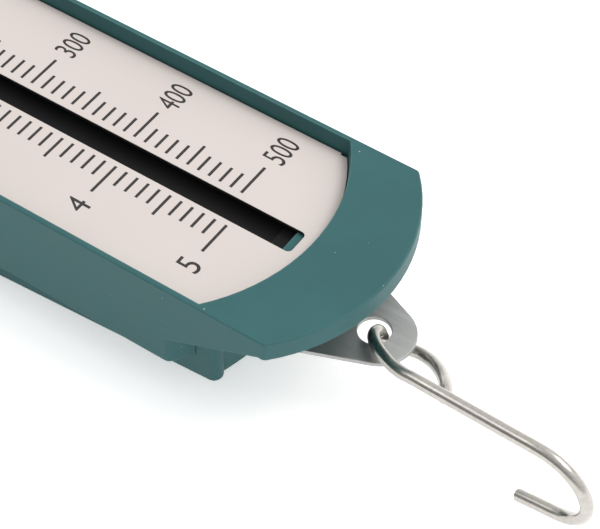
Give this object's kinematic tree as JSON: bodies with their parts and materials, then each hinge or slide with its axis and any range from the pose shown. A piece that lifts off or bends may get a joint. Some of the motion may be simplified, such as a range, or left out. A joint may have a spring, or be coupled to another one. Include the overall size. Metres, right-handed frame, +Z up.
{
  "type": "force gauge",
  "caption": "Pull-type spring scale: sunk dual newton and gram plate with a sliding pointer, wire load hook at one end, hanging ring and zero nut at the other",
  "frame": {"origin": "on the surface the flat back lies on, under the zero mark on the centre line", "axes": "X across the scale towards the gram side, Y along it towards the hanger, Z up out of the scale plate"},
  "size_m": [0.05, 0.3237, 0.0324],
  "materials": {
    "teal_plastic": "satin",
    "plate_print": "matt",
    "black_plastic": "matt",
    "red_plastic": "gloss",
    "brushed_steel": "brushed",
    "bright_steel": "polished",
    "black_rubber": "matt",
    "nickel_screw": "satin",
    "brass_turned": "satin"
  },
  "bodies": {
    "housing": {"front_housing": "teal_plastic", "rear_cover": "teal_plastic", "scale_plate": "plate_print", "plate_rivets": "nickel_screw", "guide_bush": "black_plastic", "travel_bumper": "black_rubber", "nut_washer": "nickel_screw", "hanger_plate": "brushed_steel", "hanger_screws": "nickel_screw", "cover_screws": "nickel_screw"},
    "slide": {"slide_bar": "black_plastic", "pointer": "red_plastic", "pull_plate": "brushed_steel", "slide_screws": "nickel_screw", "spring_anchor": "brass_turned"},
    "hook": {"load_hook": "bright_steel"},
    "nut": {"zero_nut": "brass_turned"},
    "adjuster": {"zero_screw": "brass_turned", "main_spring": "bright_steel"},
    "ring": {"hanger_ring": "bright_steel"}
  },
  "joints": [
    {"name": "slide_travel", "type": "slide", "parent": "housing", "child": "slide", "axis": [0, -1, 0], "range_m": [0, 0.13], "stiffness_N_per_m": 39.2, "deforming": ["main_spring"]},
    {"name": "hook_swing", "type": "hinge", "parent": "slide", "child": "hook", "pos_m": [0, -0.1578, 0.0154], "axis": [0, 0, 1], "range_deg": [-40, 55]},
    {"name": "nut_turn", "type": "hinge", "parent": "housing", "child": "nut", "pos_m": [0, 0.0623, 0.0154], "axis": [0, 1, 0], "range_deg": [-720.5, 720.5]},
    {"name": "zero_travel", "type": "slide", "parent": "housing", "child": "adjuster", "axis": [0, 1, 0], "range_m": [-0.0014, 0.0014]},
    {"name": "ring_swing", "type": "hinge", "parent": "housing", "child": "ring", "pos_m": [0, 0.088, 0.0154], "axis": [0, 0, 1], "range_deg": [-55, 55]}
  ],
  "couplings": [
    {"joint": "nut_turn", "follows": "zero_travel", "rad_per_m": 8976}
  ]
}
